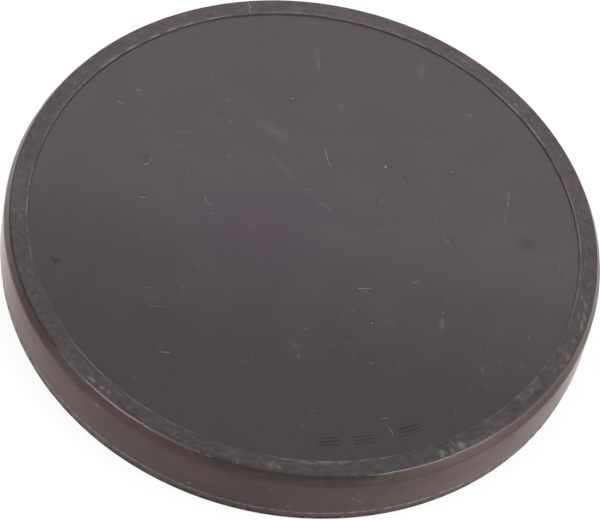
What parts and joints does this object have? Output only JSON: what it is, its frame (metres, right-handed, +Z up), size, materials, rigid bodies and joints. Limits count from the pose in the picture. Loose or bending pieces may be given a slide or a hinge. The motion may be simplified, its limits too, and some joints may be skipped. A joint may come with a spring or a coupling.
{
  "type": "closing plug",
  "caption": "Round rubber closing plug: a shallow cup with a flat closed face, a raised flat ring and a straight wall that is pressed into a housing bore.",
  "frame": {"origin": "centre of the open rim's lowest edge, on the plug's axis", "axes": "+Z up the plug's axis, out of the closed face. The plug is turned about Z, so X and Y are free"},
  "size_m": [0.0852, 0.0852, 0.01],
  "materials": {
    "dark_rubber": "satin moulded rubber, ground matt on the raised ring, smooth and slightly glossy on the wall"
  },
  "bodies": {
    "root": {"closing_plug": "dark_rubber"}
  },
  "joints": []
}
